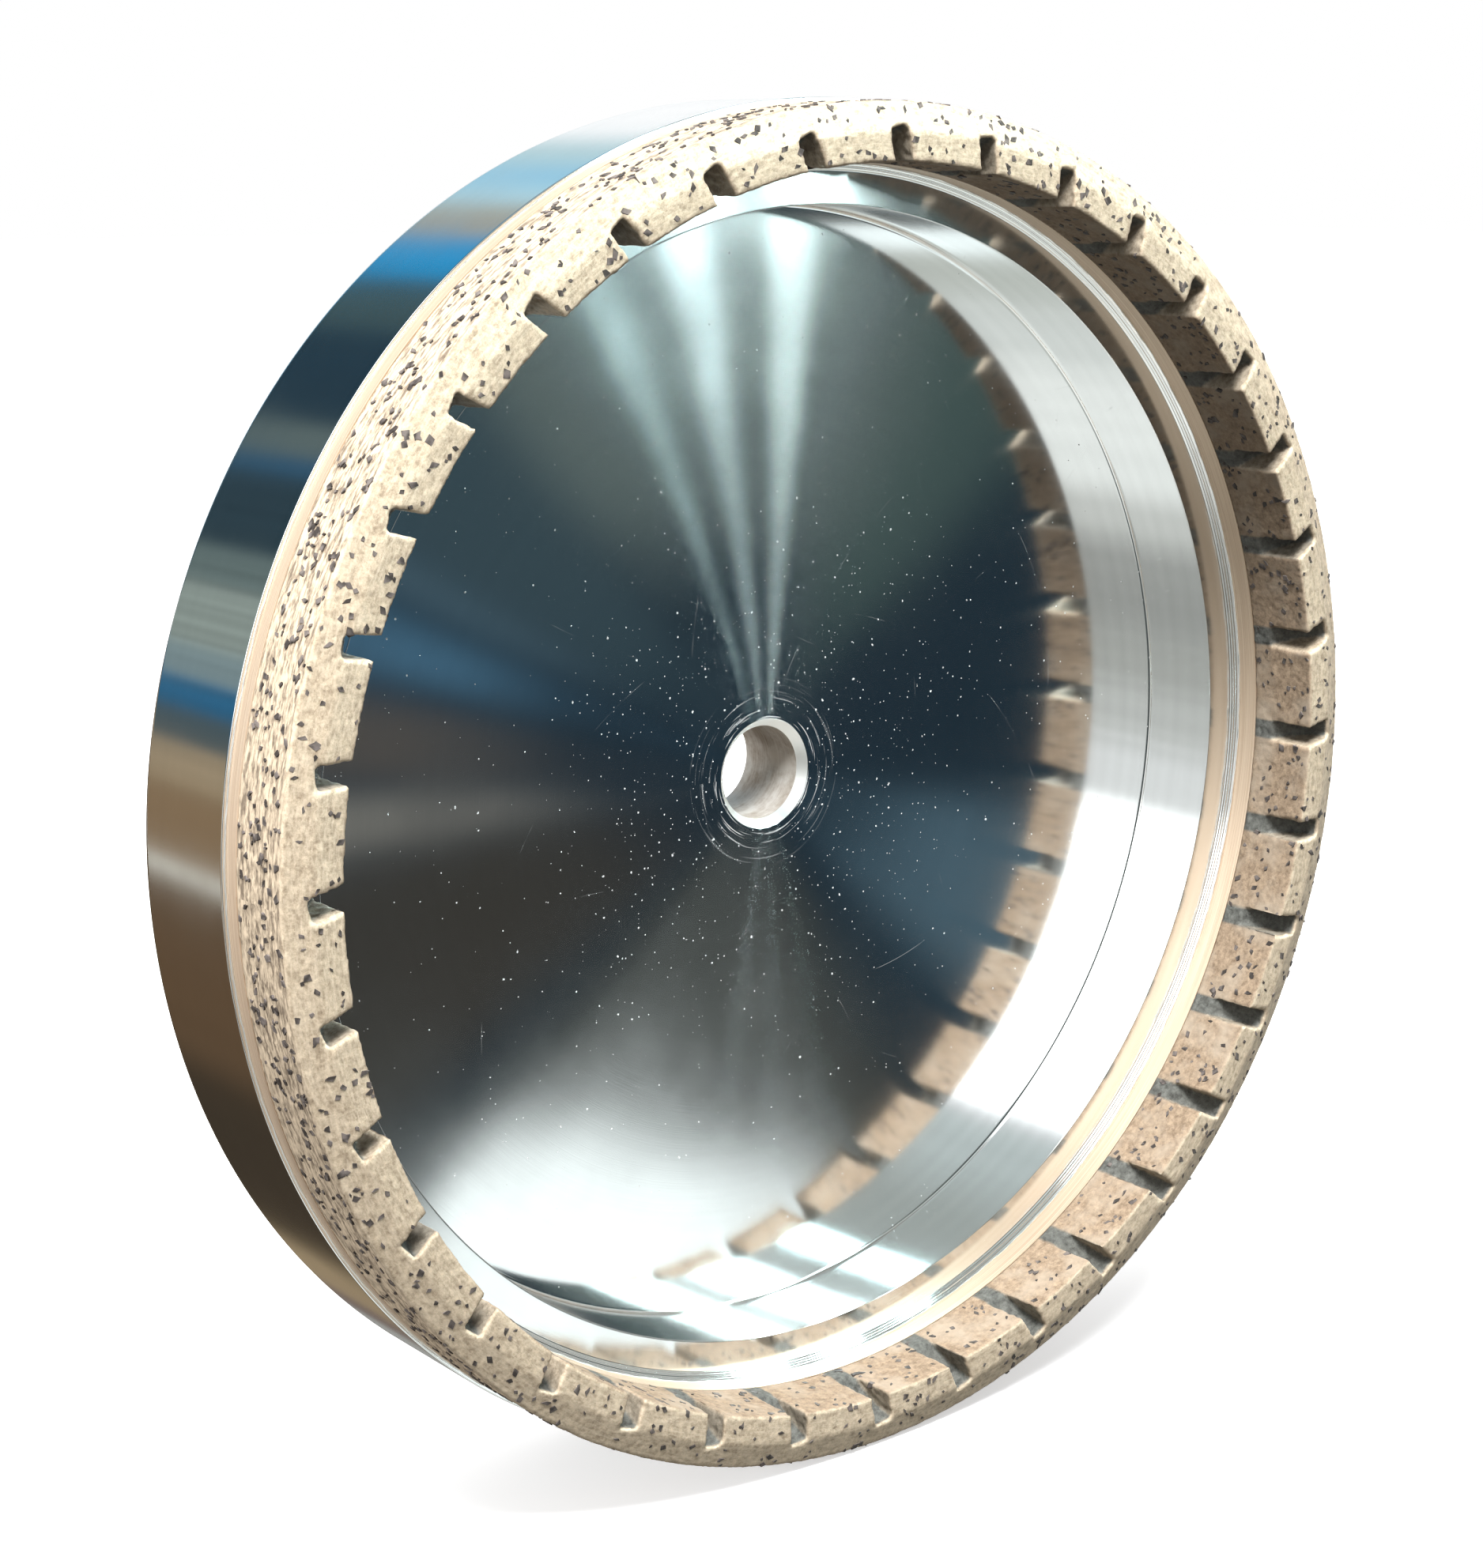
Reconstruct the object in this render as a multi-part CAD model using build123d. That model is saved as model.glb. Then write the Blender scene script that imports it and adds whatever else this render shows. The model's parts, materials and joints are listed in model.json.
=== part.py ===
from build123d import *
import os
from math import atan2, cos, degrees, hypot, radians, sin, sqrt

# Half-segmented diamond cup wheel. Millimetres. The spin axis is Y, the cup opens towards -Y and +Z is up.
# The origin is the centre of the bore, halfway along its wall.
# Profiles are drawn as (radius, depth), where depth is counted backwards from the ring's flat front land.

# ---- driving dimensions --------------------------------------------------------------------------
RING_DIAMETER = 175.0
BORE_DIAMETER = 12.7
RING_WIDTH = 7.4
RING_HEIGHT = 13.6
RIM_DEPTH = 32.4          # front land to the rear edge of the cup wall
SLOT_COUNT = 36

# ---- abrasive ring -------------------------------------------------------------------------------
ring_outer = RING_DIAMETER / 2
ring_inner = ring_outer - RING_WIDTH
land_outer = ring_inner + RING_WIDTH / 2
bevel_drop = 1.4
diamond_depth_inside = 10.4
diamond_depth_outside = 11.3
solder_film = 0.15

# ---- aluminium body ------------------------------------------------------------------------------
body_outer = ring_outer + 0.5
seat_shoulder = 1.0       # the ledge inside the ring lies this much deeper than the ring's seat
ledge_depth = RING_HEIGHT + seat_shoulder
cup_inner = ring_inner - 5.2
web_depth_at_wall = ledge_depth + 12.0
web_depth_at_hub = web_depth_at_wall - 0.7
bore_radius = BORE_DIAMETER / 2
bore_chamfer = 1.1
boss_radius = 32.0
boss_height = 6.6
seat_edge_break = 0.15
rear_chamfer = 1.2
ledge_edge_break = 0.15
web_corner_radius = 0.5
boss_root_radius = 2.0
hub_back_depth = RIM_DEPTH + boss_height
bore_front_depth = web_depth_at_hub + bore_chamfer
bore_back_depth = hub_back_depth - bore_chamfer
origin_depth = (bore_front_depth + bore_back_depth) / 2

# ---- slots: each one is sunk by a thin disc that enters from inside the cup ----
slot_pitch = 360 / SLOT_COUNT
slot_width = 2.7
slot_outer_radius = land_outer + 0.6
slot_outer_depth = 0.2
slot_inner_depth = 7.2
slot_cutter_radius = 11.0
slot_skew = 13.5          # the inner end leans clockwise, seen from the front

# ---- grit ----------------------------------------------------------------------------------------
GRAINS_PER_SEGMENT = 6
grain_size = 0.9
grain_taper = 30
grain_proud = 0.12
grain_width_share = 0.8   # a grain's width as a share of its length
grain_margin = 0.9        # kept clear of the corners of the ring's profile
bevel_margin = 0.24       # the same on the narrow bevel, as a share of its drop
slot_free_start = slot_pitch * 0.2    # grains keep to this part of each segment, clear of its slots
slot_free_span = slot_pitch * 0.48
golden = (sqrt(5) - 1) / 2    # steps of this share of a range fill it evenly, without a pattern
angle_steps = 7           # steps per grain round the wheel, against one step along the profile


def point(radius, depth):
    return (radius, depth - origin_depth)


def corner(profile, radius, depth):
    """The vertex of a profile at that radius and depth."""
    target = Vector(*point(radius, depth))
    return min(profile.vertices(), key=lambda v: (Vector(v) - target).length)


def turned(profile):
    return revolve(profile, Axis.Y, 360)


def outline(*corners):
    return make_face(Polyline(*[point(*c) for c in corners], close=True))


def around(shape, angle):
    """Turns a shape about the spin axis, anticlockwise seen from the front."""
    return Rot(0, -angle, 0) * shape


# ---- cup body ------------------------------------------------------------------------------------
def cup_body():
    profile = outline(
        (bore_radius, bore_front_depth),
        (bore_radius + bore_chamfer, web_depth_at_hub),
        (cup_inner, web_depth_at_wall),
        (cup_inner, ledge_depth),
        (ring_inner - seat_shoulder, ledge_depth),
        (ring_inner, RING_HEIGHT),
        (body_outer, RING_HEIGHT),
        (body_outer, RIM_DEPTH),
        (boss_radius, RIM_DEPTH),
        (boss_radius, hub_back_depth),
        (bore_radius + bore_chamfer, hub_back_depth),
        (bore_radius, bore_back_depth),
    )
    profile = fillet(corner(profile, cup_inner, web_depth_at_wall), web_corner_radius)
    profile = fillet(corner(profile, boss_radius, RIM_DEPTH), boss_root_radius)
    profile = chamfer(corner(profile, cup_inner, ledge_depth), ledge_edge_break)
    profile = chamfer(corner(profile, body_outer, RING_HEIGHT), seat_edge_break)
    profile = chamfer(corner(profile, body_outer, RIM_DEPTH), rear_chamfer)
    profile = chamfer(corner(profile, boss_radius, hub_back_depth), rear_chamfer)
    return turned(profile)


# ---- solder seam: the thin film that holds the ring on its seat ----------------------------------
def solder_seam():
    return turned(outline(
        (ring_inner, RING_HEIGHT - solder_film),
        (ring_outer, RING_HEIGHT - solder_film),
        (ring_outer, RING_HEIGHT),
        (ring_inner, RING_HEIGHT),
    ))


# ---- transition ring: its front is a shallow cone, pressed together with the diamond layer ----
def transition_ring():
    return turned(outline(
        (ring_inner, diamond_depth_inside),
        (ring_outer, diamond_depth_outside),
        (ring_outer, RING_HEIGHT - solder_film),
        (ring_inner, RING_HEIGHT - solder_film),
    ))


# ---- slots ---------------------------------------------------------------------------------------
def slot_cutter():
    """A disc whose rim passes through the slot's end on the face and its end on the inner wall."""
    run = slot_outer_radius - ring_inner
    drop = slot_inner_depth - slot_outer_depth
    chord = hypot(run, drop)
    offset = sqrt(slot_cutter_radius ** 2 - (chord / 2) ** 2)
    centre_radius = (slot_outer_radius + ring_inner) / 2 - offset * drop / chord
    centre_depth = (slot_outer_depth + slot_inner_depth) / 2 - offset * run / chord
    disc = Cylinder(slot_cutter_radius, slot_width)
    disc = Pos(centre_radius - slot_outer_radius, centre_depth - origin_depth, 0) * disc
    return Pos(slot_outer_radius, 0, 0) * Rot(0, -slot_skew, 0) * disc


# ---- grit: blocky grains scattered over the ring's working surfaces ----
def working_surfaces():
    """Start, end and tilt from the radial direction of each straight piece of the ring's profile."""
    bevel_tilt = degrees(atan2(ring_outer - land_outer, bevel_drop))
    return [
        ((ring_outer, diamond_depth_outside - grain_margin), (ring_outer, bevel_drop + grain_margin), 0),
        (
            (ring_outer - grain_margin, bevel_drop * (1 - bevel_margin)),
            (land_outer + grain_margin, bevel_drop * bevel_margin),
            bevel_tilt,
        ),
        ((land_outer - grain_margin, 0), (ring_inner + grain_margin, 0), 90),
        ((ring_inner, grain_margin), (ring_inner, diamond_depth_inside - grain_margin), 180),
    ]


def grain():
    half = grain_size / 2
    outline_across = Rectangle(grain_size, grain_size * grain_width_share)
    return extrude(outline_across, half, both=True, taper=grain_taper)


def diamond_grit():
    pieces = working_surfaces()
    lengths = [hypot(b[0] - a[0], b[1] - a[1]) for a, b, tilt in pieces]
    crystal = grain()
    sunk = grain_size / 2 - grain_proud
    grains = []
    for number in range(SLOT_COUNT * GRAINS_PER_SEGMENT):
        segment = number // GRAINS_PER_SEGMENT
        along = (number * golden) % 1 * sum(lengths)
        side = 0
        while along > lengths[side]:
            along -= lengths[side]
            side += 1
        start, end, tilt = pieces[side]
        part = along / lengths[side]
        radius = start[0] + (end[0] - start[0]) * part - sunk * cos(radians(tilt))
        depth = start[1] + (end[1] - start[1]) * part + sunk * sin(radians(tilt))
        spread = (number * golden * angle_steps) % 1
        angle = segment * slot_pitch + slot_free_start + spread * slot_free_span
        turn = spread * 180
        facing = Rot(0, 0, -tilt) * Rot(0, 90, 0) * Rot(0, 0, turn) * crystal
        grains.append(around(Pos(radius, depth - origin_depth, 0) * facing, angle))
    return grains


# ---- diamond ring --------------------------------------------------------------------------------
def diamond_ring(grains):
    ring = turned(outline(
        (ring_inner, 0),
        (land_outer, 0),
        (ring_outer, bevel_drop),
        (ring_outer, diamond_depth_outside),
        (ring_inner, diamond_depth_inside),
    ))
    cutter = slot_cutter()
    slots = [around(cutter, n * slot_pitch) for n in range(SLOT_COUNT)]
    return ring - slots - grains


grit = diamond_grit()
nodes = {
    "cup_body": cup_body(),
    "solder_seam": solder_seam(),
    "transition_ring": transition_ring(),
    "diamond_ring": diamond_ring(grit),
    "diamond_grit": Compound(children=grit),
}

os.makedirs("parts", exist_ok=True)
for name, shape in nodes.items():
    export_step(shape, f"parts/{name}.step")
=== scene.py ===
import json
import math
import random
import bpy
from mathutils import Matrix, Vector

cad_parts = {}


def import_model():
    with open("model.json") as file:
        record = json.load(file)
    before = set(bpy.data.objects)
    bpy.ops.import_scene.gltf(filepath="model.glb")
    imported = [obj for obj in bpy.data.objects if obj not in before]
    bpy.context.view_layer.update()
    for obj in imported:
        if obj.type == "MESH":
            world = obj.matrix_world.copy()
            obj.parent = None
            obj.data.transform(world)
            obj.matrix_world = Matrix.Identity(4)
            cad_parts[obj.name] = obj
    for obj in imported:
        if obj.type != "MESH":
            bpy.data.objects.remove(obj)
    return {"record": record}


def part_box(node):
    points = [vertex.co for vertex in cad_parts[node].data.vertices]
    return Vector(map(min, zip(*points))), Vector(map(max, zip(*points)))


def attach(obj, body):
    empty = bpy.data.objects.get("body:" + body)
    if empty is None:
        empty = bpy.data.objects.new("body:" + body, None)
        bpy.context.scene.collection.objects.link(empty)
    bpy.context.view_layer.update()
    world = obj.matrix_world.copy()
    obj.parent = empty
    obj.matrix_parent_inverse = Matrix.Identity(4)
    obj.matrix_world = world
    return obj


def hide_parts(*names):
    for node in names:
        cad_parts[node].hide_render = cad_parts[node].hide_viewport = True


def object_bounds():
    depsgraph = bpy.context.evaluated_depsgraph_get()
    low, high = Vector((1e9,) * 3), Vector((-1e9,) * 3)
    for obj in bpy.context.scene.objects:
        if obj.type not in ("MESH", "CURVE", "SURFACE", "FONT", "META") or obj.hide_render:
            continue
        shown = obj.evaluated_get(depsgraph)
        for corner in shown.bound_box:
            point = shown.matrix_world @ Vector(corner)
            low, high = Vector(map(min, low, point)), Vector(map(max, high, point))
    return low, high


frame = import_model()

from types import SimpleNamespace

import bmesh
import bpy
import numpy as np
from mathutils import Vector, noise

# The looks of a half-segmented diamond cup wheel. The frame is the CAD's: the spin axis is Y, the cup opens
# towards -Y. Profiles are (radius, depth) in millimetres, with depth counted backwards from the ring's land.

CAD_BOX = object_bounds()
MM = 0.001
rng = random.Random(36)


def measured(node):
    """A CAD node's outer radius, front depth and back depth, in millimetres."""
    low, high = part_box(node)
    return [round(value / MM, 2) for value in (high.x, low.y - FRONT, high.y - FRONT)]


# ---- sizes ---------------------------------------------------------------------------------------
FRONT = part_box("diamond_ring")[0].y
ring_outer, _, diamond_outside = measured("diamond_ring")
body_outer, seat, hub_back = measured("cup_body")
_, diamond_inside, transition_back = measured("transition_ring")
bore = next(m for m in frame["record"]["mounts"] if m["name"] == "bore")["dims"]["r_mm"]

RING_WIDTH = 7.4
LEDGE_WIDTH = 5.2
WEB_BELOW_LEDGE = 12.0    # at the cup's wall
WEB_RISE = 0.7            # the web comes forward by this much towards the bore

ring_inner = ring_outer - RING_WIDTH
land_outer = ring_inner + RING_WIDTH / 2
bevel_drop = 1.4
shoulder = 1.0
ledge = seat + shoulder
cup_inner = ring_inner - LEDGE_WIDTH
web_at_wall = ledge + WEB_BELOW_LEDGE
web_at_hub = web_at_wall - WEB_RISE
rim_back = 32.4
boss = 32.0
bore_chamfer = 1.1

SLOTS = 36
slot_pitch = math.tau / SLOTS
slot_width = 2.7
slot_start = land_outer + 0.6
slot_start_depth = 0.2
slot_end_depth = 7.2
slot_disc_radius = 11.0
slot_skew = math.radians(13.5)
SLOT_WIDTH_VARIES = 0.05  # as a share of the width
SLOT_LEAN_VARIES = 1.5    # degrees
SLOT_DEPTH_VARIES = 0.25

ROUND = 720               # faces round a turned surface
BOND_ROUND = 360          # the same on the bond, before its remesh
RING_VOXEL = 0.34         # resolution of the worn abrasive ring
PIT_SIZE = 0.55           # sizes of the marks that wear leaves in the ring
LUMP_SIZE = 1.7
CHIP_SIZE = 0.9
GROOVE_LENGTH = 5.0
GROOVE_WIDTH = 0.42
CRYSTALS_PER_SEGMENT = 84
CRYSTAL_SHAPES = 24
CRYSTAL_SMALLEST = 0.75
CRYSTAL_SIZE_RANGE = 1.0
CRYSTALS_PROUD = (0.02, 0.07)
CRYSTALS_GROUND = 0.1     # no crystal stands further in front of the land than this
BEAD_WIDTH = 0.12         # the solder bead at each edge of the seam, then its waves: height, count, phase
BEAD_WAVES = [(0.05, 41, 0.0), (0.04, 97, 1.3), (0.03, 211, 0.0)]


# ---- mesh helpers --------------------------------------------------------------------------------
def rounded(corners, steps=4, guard=0.12):
    """Corners (radius, depth, round-over) as a dense outline: a curve at each corner, guard points beside it.
    Returns [(radius, depth)] and, for each point, the number of the straight piece it starts."""
    points, sections = [], []
    count = len(corners)
    for index, (radius, depth, size) in enumerate(corners):
        here = np.array((radius, depth))
        before = np.array(corners[index - 1][:2]) - here
        after = np.array(corners[(index + 1) % count][:2]) - here
        reach_before, reach_after = np.linalg.norm(before), np.linalg.norm(after)
        before, after = before / reach_before, after / reach_after
        section_before = (index - 1) % count
        if size + guard < reach_before / 2:
            points.append(here + before * (size + guard))
            sections.append(section_before)
        for step in range(steps + 1):
            t = step / steps
            points.append(here + before * size * (1 - t) ** 2 + after * size * t ** 2)
            sections.append(section_before if t < 0.5 else index)
        if size + guard < reach_after / 2:
            points.append(here + after * (size + guard))
            sections.append(index)
    return points, sections


def refined(points, sections, length, only=None, whole=math.ceil):
    """Splits the outline's pieces into parts of about this length, everywhere or in one section only. whole
    turns the number of parts into a whole one."""
    new_points, new_sections = [], []
    for index, point in enumerate(points):
        after = points[(index + 1) % len(points)]
        parts = 1
        if only is None or sections[index] == only:
            parts = max(1, whole(np.linalg.norm(after - point) / length))
        for part in range(parts):
            new_points.append(point + (after - point) * part / parts)
            new_sections.append(sections[index])
    return new_points, new_sections


def turned(name, points, sections=None, shape=None, count=ROUND):
    """A closed solid of revolution about Y. shape(radius, depth, angle) may move the rings of points."""
    outline = np.array(points)
    angles = np.arange(count) / count * math.tau
    radius = np.repeat(outline[None, :, 0], count, axis=0)
    depth = np.repeat(outline[None, :, 1], count, axis=0)
    if shape:
        radius, depth = shape(radius, depth, angles[:, None])
    place = np.stack((
        radius * np.cos(angles)[:, None],
        depth + FRONT / MM,
        radius * np.sin(angles)[:, None],
    ), axis=-1).reshape(-1, 3) * MM
    rows = len(outline)
    ring = np.arange(count)[:, None] * rows
    next_ring = np.roll(ring, -1, axis=0)
    row = np.arange(rows)[None, :]
    next_row = np.roll(row, -1, axis=1)
    corners = (ring + row, ring + next_row, next_ring + next_row, next_ring + row)
    piece = mesh_object(name, place, np.stack(corners, axis=-1).reshape(-1, 4))
    if sections is not None:
        section_of_face = piece.data.attributes.new("section", "INT", "FACE")
        section_of_face.data.foreach_set("value", np.tile(sections, count))
    return piece


def mesh_object(name, vertices, faces):
    mesh = bpy.data.meshes.new(name)
    mesh.from_pydata([tuple(v) for v in vertices], [], [tuple(f) for f in faces])
    mesh.validate()
    piece = bpy.data.objects.new(name, mesh)
    bpy.context.scene.collection.objects.link(piece)
    facing_out(mesh)
    mesh.shade_smooth()
    return piece


def facing_out(mesh):
    bm = bmesh.new()
    bm.from_mesh(mesh)
    bmesh.ops.recalc_face_normals(bm, faces=bm.faces)
    bm.to_mesh(mesh)
    bm.free()


def baked(piece):
    """The piece's mesh with its modifiers applied."""
    graph = bpy.context.evaluated_depsgraph_get()
    mesh = bpy.data.meshes.new_from_object(piece.evaluated_get(graph))
    piece.modifiers.clear()
    piece.data = mesh
    return piece


def coordinates(mesh):
    flat = np.empty(len(mesh.vertices) * 3)
    mesh.vertices.foreach_get("co", flat)
    return flat.reshape(-1, 3) / MM


def noise_at(points, scale, seed=0):
    """Smooth noise from -1 to 1 at each point; scale may differ by axis."""
    shift = Vector((seed * 17.3, seed * 5.1, seed * 9.7))
    scaled = np.asarray(points) / scale
    return np.array([noise.noise(Vector(p) + shift) for p in scaled])


# ---- cup body ------------------------------------------------------------------------------------
# Numbers of the straight pieces of its outline, in the order of the corners below.
FRONT_CHAMFER, WEB, SHOULDER = 0, 1, 4
REAR_FACE, BOSS_WALL, BOSS_FACE, REAR_CHAMFER, BORE_WALL = 7, 8, 9, 10, 11


def cup_body():
    corners = [
        (bore, web_at_hub + bore_chamfer, 0.08),
        (bore + bore_chamfer, web_at_hub, 0.10),
        (cup_inner, web_at_wall, 0.5),
        (cup_inner, ledge, 0.12),
        (ring_inner - shoulder, ledge, 0.10),
        (ring_inner, seat, 0.05),
        (body_outer, seat, 0.15),
        (body_outer, rim_back, 0.9),
        (boss, rim_back, 2.0),
        (boss, hub_back, 0.9),
        (bore + bore_chamfer, hub_back, 0.12),
        (bore, hub_back - bore_chamfer, 0.08),
    ]
    points, sections = rounded(corners)
    points, sections = refined(points, sections, 3.0)
    points, sections = refined(points, sections, 0.05, only=SHOULDER, whole=round)
    ridge_count, ridge_height = 4, 0.035

    def tool_lines(radius, depth, angle):
        """Fine turned ridges on the shoulder beside the ring."""
        beside_ring = (radius > ring_inner - shoulder) & (radius < ring_inner)
        on_cone = beside_ring & (depth > seat) & (depth < ledge)
        across = (depth - seat) / shoulder
        fading = np.sin(np.clip(across, 0, 1) * math.pi)
        wave = np.sin(across * math.tau * ridge_count) * ridge_height * fading
        return radius - on_cone * wave, depth - on_cone * wave

    return turned("cup_body_turned", points, sections, tool_lines)


# ---- abrasive ring -------------------------------------------------------------------------------
def slot_place(radius, angle):
    """Distance from the nearest slot's centre line."""
    offset = (angle + slot_pitch / 2) % slot_pitch - slot_pitch / 2
    inward = radius * np.cos(offset) - slot_start
    aside = radius * np.sin(offset)
    return np.abs(inward * math.sin(slot_skew) - aside * math.cos(slot_skew))


def slot_discs():
    """The thin discs that sink the slots. Each differs a little in thickness, lean and depth."""
    run = slot_start - ring_inner
    drop = slot_end_depth - slot_start_depth
    chord = math.hypot(run, drop)
    offset = math.sqrt(slot_disc_radius ** 2 - (chord / 2) ** 2)
    centre = Vector((
        (slot_start + ring_inner) / 2 - offset * drop / chord - slot_start,
        (slot_start_depth + slot_end_depth) / 2 - offset * run / chord,
    ))
    bm = bmesh.new()
    teeth = 48
    for number in range(SLOTS):
        angle = number * slot_pitch
        half = slot_width / 2 * (1 + rng.uniform(-SLOT_WIDTH_VARIES, SLOT_WIDTH_VARIES))
        turn = slot_skew + math.radians(rng.uniform(-SLOT_LEAN_VARIES, SLOT_LEAN_VARIES))
        along = centre.copy()
        along.y += rng.uniform(-SLOT_DEPTH_VARIES, SLOT_DEPTH_VARIES)
        sides = []
        for side in (-half, half):
            loop = []
            for tooth in range(teeth):
                around = tooth / teeth * math.tau
                local = Vector((
                    along.x + slot_disc_radius * math.cos(around),
                    along.y + slot_disc_radius * math.sin(around),
                    side,
                ))
                leaned = Vector((
                    local.x * math.cos(turn) - local.z * math.sin(turn) + slot_start,
                    local.y,
                    local.x * math.sin(turn) + local.z * math.cos(turn),
                ))
                loop.append(bm.verts.new((
                    (leaned.x * math.cos(angle) - leaned.z * math.sin(angle)) * MM,
                    leaned.y * MM + FRONT,
                    (leaned.x * math.sin(angle) + leaned.z * math.cos(angle)) * MM,
                )))
            sides.append(loop)
        low, high = sides
        bm.faces.new(low)
        bm.faces.new(high[::-1])
        for tooth in range(teeth):
            after = (tooth + 1) % teeth
            bm.faces.new((low[tooth], high[tooth], high[after], low[after]))
    bmesh.ops.recalc_face_normals(bm, faces=bm.faces)
    mesh = bpy.data.meshes.new("slot_discs")
    bm.to_mesh(mesh)
    bm.free()
    discs = bpy.data.objects.new("slot_discs", mesh)
    bpy.context.scene.collection.objects.link(discs)
    return discs


def diamond_ring():
    points, _ = rounded([
        (ring_inner, 0, 0.25),
        (land_outer, 0, 0.3),
        (ring_outer, bevel_drop, 0.35),
        (ring_outer, diamond_outside, 0.05),
        (ring_inner, diamond_inside, 0.05),
    ])
    piece = turned("diamond_ring_bond", points, count=BOND_ROUND)
    discs = slot_discs()
    cut = piece.modifiers.new("slots", "BOOLEAN")
    cut.object = discs
    cut.operation = "DIFFERENCE"
    cut.solver = "MANIFOLD"
    remesh = piece.modifiers.new("grain", "REMESH")
    remesh.mode = "VOXEL"
    remesh.voxel_size = RING_VOXEL * MM
    baked(piece)
    bpy.data.objects.remove(discs)
    wear(piece)
    return piece


def rise(values, start, run):
    """0 up to start, 1 after a further run, and straight between."""
    return np.clip((values - start) / run, 0, 1)


def wear(piece):
    """Presses pits, dragged grooves and chipped edges into the sintered ring's mesh, and marks its zones.
    The press is in millimetres along the surface's normal."""
    mesh = piece.data
    place = coordinates(mesh)
    radius = np.hypot(place[:, 0], place[:, 2])
    angle = np.arctan2(place[:, 2], place[:, 0])
    depth = place[:, 1] - FRONT / MM
    arc = angle * ring_outer
    flat = np.empty(len(mesh.vertices) * 3)
    mesh.vertices.foreach_get("normal", flat)
    normal = flat.reshape(-1, 3)
    outside = rise(radius, ring_outer - 0.25, 0.2) * rise(depth, bevel_drop, 0.5)
    inside = 1 - rise(radius, ring_inner + 0.05, 0.2)
    from_slot = slot_place(radius, angle)
    slot = 1 - rise(from_slot, slot_width / 2 - 0.15, 0.3)
    bevel_line = (radius - land_outer) * bevel_drop / (ring_outer - land_outer)
    sunk = rise(depth, np.maximum(bevel_line, 0) + 0.3, 0.3) * (radius < ring_outer - 0.4)
    slot = slot * np.maximum(sunk, inside * (depth < slot_end_depth + 0.4))
    drag = np.stack((arc, depth, radius), axis=-1)
    grain = noise_at(place, PIT_SIZE, 1)
    lumps = noise_at(place, LUMP_SIZE, 2)
    grooves = noise_at(drag, np.array((GROOVE_LENGTH, GROOVE_WIDTH, GROOVE_WIDTH)), 3)
    chips = noise_at(place, CHIP_SIZE, 5)
    press = 0.035 * grain + 0.03 * lumps
    press += outside * (0.10 * grooves + 0.07 * grain - 0.08)
    press += inside * 0.06 * (grain + lumps)
    press += slot * 0.10 * (grain + lumps)
    rim = np.exp(-((from_slot - slot_width / 2) / 0.35) ** 2) * (radius < slot_start + 0.6)
    press -= rim * (depth < slot_end_depth) * 0.22 * np.clip(chips + 0.15, 0, 1)
    press *= 1 - rise(depth, diamond_inside - 0.7, 0.5)
    press = np.minimum(press - 0.03, 0)
    place += normal * press[:, None]
    mesh.vertices.foreach_set("co", (place * MM).ravel())
    mesh.update()
    mesh.shade_smooth()
    for name, values in (("outside", outside), ("inside", inside), ("slot", slot)):
        zone = mesh.attributes.new(name, "FLOAT", "POINT")
        zone.data.foreach_set("value", values)


def crystal_shapes(count):
    """Blocky broken crystals about one unit across: four corners round a flat ground top, five below it."""
    top, below = 4, 5
    shapes = []
    for _ in range(count):
        bm = bmesh.new()
        narrow = rng.uniform(0.45, 0.85)
        for corner in range(top + below):
            on_top = corner < top
            height = 0.5 if on_top else rng.uniform(-0.5, 0.2)
            around = corner / top * math.tau if on_top else (corner - top) / below * math.tau
            reach = rng.uniform(0.26, 0.5)
            around += rng.uniform(-0.5, 0.5)
            bm.verts.new((reach * math.cos(around), reach * math.sin(around) * narrow, height * 0.7))
        bmesh.ops.convex_hull(bm, input=bm.verts)
        bmesh.ops.delete(bm, geom=[v for v in bm.verts if not v.link_faces], context="VERTS")
        bm.verts.index_update()
        shapes.append((
            np.array([v.co[:] for v in bm.verts]),
            [[v.index for v in face.verts] for face in bm.faces],
        ))
        bm.free()
    return shapes


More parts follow.
